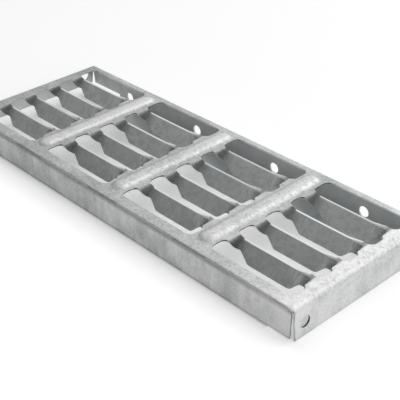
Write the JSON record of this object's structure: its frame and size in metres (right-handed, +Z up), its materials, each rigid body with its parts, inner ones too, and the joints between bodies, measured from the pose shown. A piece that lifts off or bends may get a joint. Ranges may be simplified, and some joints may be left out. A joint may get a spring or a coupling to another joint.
{
  "type": "metal stair tread",
  "caption": "Folded galvanised steel stair tread with rows of twisted louvre blades, embossed cross-bars, down-turned bolted flanges and return lips.",
  "frame": {"origin": "centre of the bounding box in plan, level with the underside of the return lips that the tread rests on", "axes": "+X along the tread from its relieved end to its full-depth end, +Y from the nosing to the rear flange, +Z up through the walking face"},
  "size_m": [0.6, 0.216, 0.043],
  "materials": {
    "galvanised_steel": "dull galvanised sheet with a fine mottled spangle"
  },
  "bodies": {
    "root": {"tread": "galvanised_steel"}
  },
  "joints": []
}
